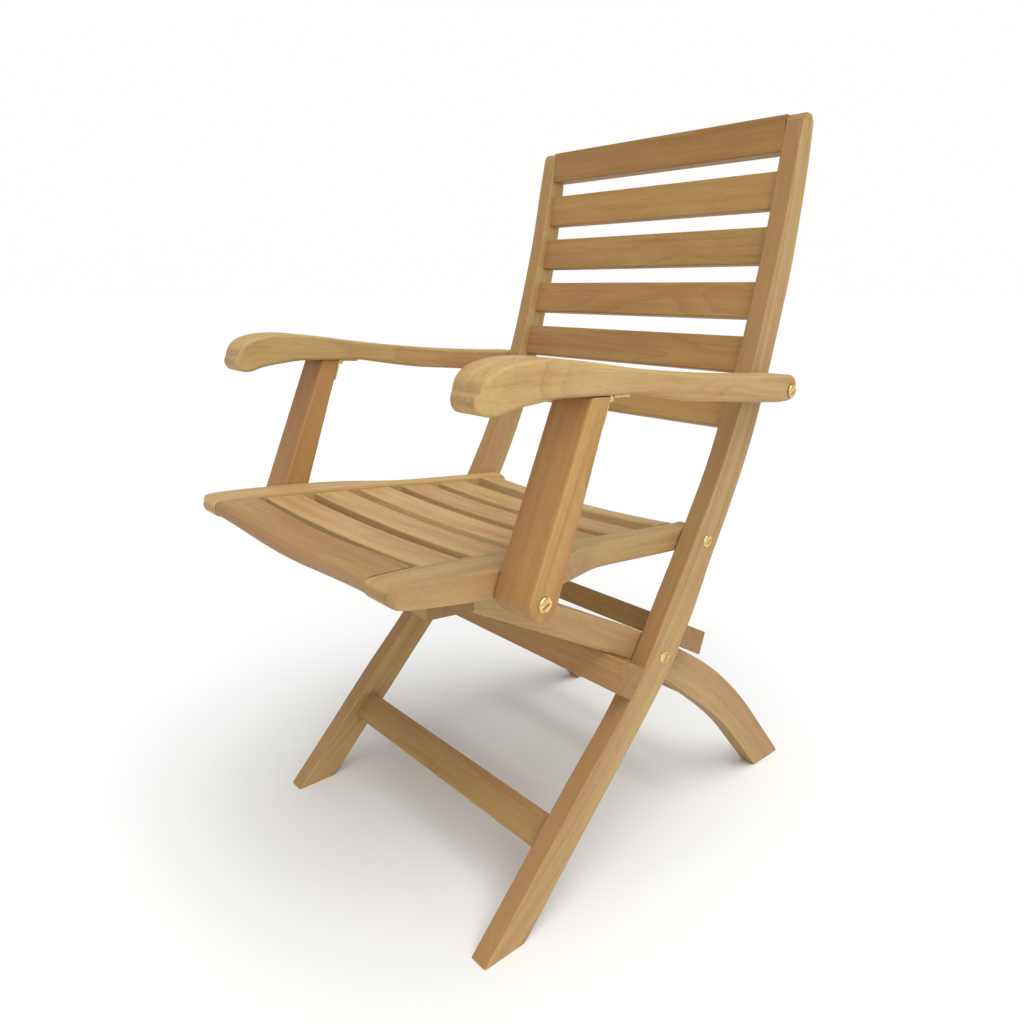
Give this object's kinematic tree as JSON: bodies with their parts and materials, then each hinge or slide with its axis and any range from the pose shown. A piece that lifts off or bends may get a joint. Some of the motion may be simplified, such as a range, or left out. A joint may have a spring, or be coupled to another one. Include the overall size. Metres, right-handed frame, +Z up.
{
  "type": "folding garden armchair",
  "caption": "Folding wooden garden armchair with curved slatted back, dished slatted seat, shaped arms and crossed legs on brass pivot bolts.",
  "frame": {"origin": "on the floor, midway across the chair and midway along its depth", "axes": "+Z up, the chair faces -Y, X runs across the chair, which is the same each side"},
  "size_m": [0.559, 0.6975, 0.9007],
  "materials": {
    "teak": "oiled, satin, fine straight grain",
    "brass": "satin, lightly worn"
  },
  "bodies": {
    "frame": {"arm_bolt_left": "brass", "arm_bolt_right": "brass", "arm_nut_left": "brass", "arm_nut_right": "brass", "back_lower_rail": "teak", "back_slat_1": "teak", "back_slat_2": "teak", "back_slat_3": "teak", "back_slat_4": "teak", "back_top_rail": "teak", "front_stop_rail": "teak", "front_stretcher": "teak", "leg_bolt_left": "brass", "leg_bolt_right": "brass", "leg_nut_left": "brass", "leg_nut_right": "brass", "rear_stop_rail": "teak", "seat_bolt_left": "brass", "seat_bolt_right": "brass", "seat_nut_left": "brass", "seat_nut_right": "brass", "stile_leg_left": "teak", "stile_leg_right": "teak"},
    "seat": {"post_bolt_left": "brass", "post_bolt_right": "brass", "post_nut_left": "brass", "post_nut_right": "brass", "seat_front_rail": "teak", "seat_rear_rail": "teak", "seat_side_rail_left": "teak", "seat_side_rail_right": "teak", "seat_slat_1": "teak", "seat_slat_2": "teak", "seat_slat_3": "teak", "seat_slat_4": "teak", "seat_slat_5": "teak"},
    "arm_left": {"arm_left": "teak", "hinge_arm_leaf_left": "brass"},
    "arm_right": {"arm_right": "teak", "hinge_arm_leaf_right": "brass"},
    "post_left": {"arm_post_left": "teak", "hinge_post_leaf_left": "brass"},
    "post_right": {"arm_post_right": "teak", "hinge_post_leaf_right": "brass"},
    "rear_legs": {"rear_frame_cross_rail": "teak", "rear_frame_front_rail": "teak", "rear_leg_left": "teak", "rear_leg_right": "teak"}
  },
  "joints": [
    {"name": "seat_hinge", "type": "hinge", "parent": "frame", "child": "seat", "pos_m": [0, 0.0973, 0.402], "axis": [-1, 0, 0], "range_deg": [0, 85]},
    {"name": "arm_hinge_left", "type": "hinge", "parent": "frame", "child": "arm_left", "pos_m": [0, 0.1833, 0.581], "axis": [-1, 0, 0], "range_deg": [0, 85]},
    {"name": "arm_hinge_right", "type": "hinge", "parent": "frame", "child": "arm_right", "pos_m": [0, 0.1833, 0.581], "axis": [-1, 0, 0], "range_deg": [0, 85]},
    {"name": "post_hinge_left", "type": "hinge", "parent": "arm_left", "child": "post_left", "pos_m": [0, -0.1357, 0.601], "axis": [-1, 0, 0], "range_deg": [-85, 0]},
    {"name": "post_hinge_right", "type": "hinge", "parent": "arm_right", "child": "post_right", "pos_m": [0, -0.1357, 0.601], "axis": [-1, 0, 0], "range_deg": [-85, 0]},
    {"name": "leg_hinge", "type": "hinge", "parent": "frame", "child": "rear_legs", "pos_m": [0, 0.0243, 0.272], "axis": [-1, 0, 0], "range_deg": [0, 68]}
  ],
  "couplings": [
    {"joint": "arm_hinge_left", "follows": "seat_hinge", "ratio": 1},
    {"joint": "arm_hinge_right", "follows": "seat_hinge", "ratio": 1},
    {"joint": "post_hinge_left", "follows": "seat_hinge", "ratio": -1},
    {"joint": "post_hinge_right", "follows": "seat_hinge", "ratio": -1},
    {"joint": "leg_hinge", "follows": "seat_hinge", "ratio": 0.8}
  ]
}
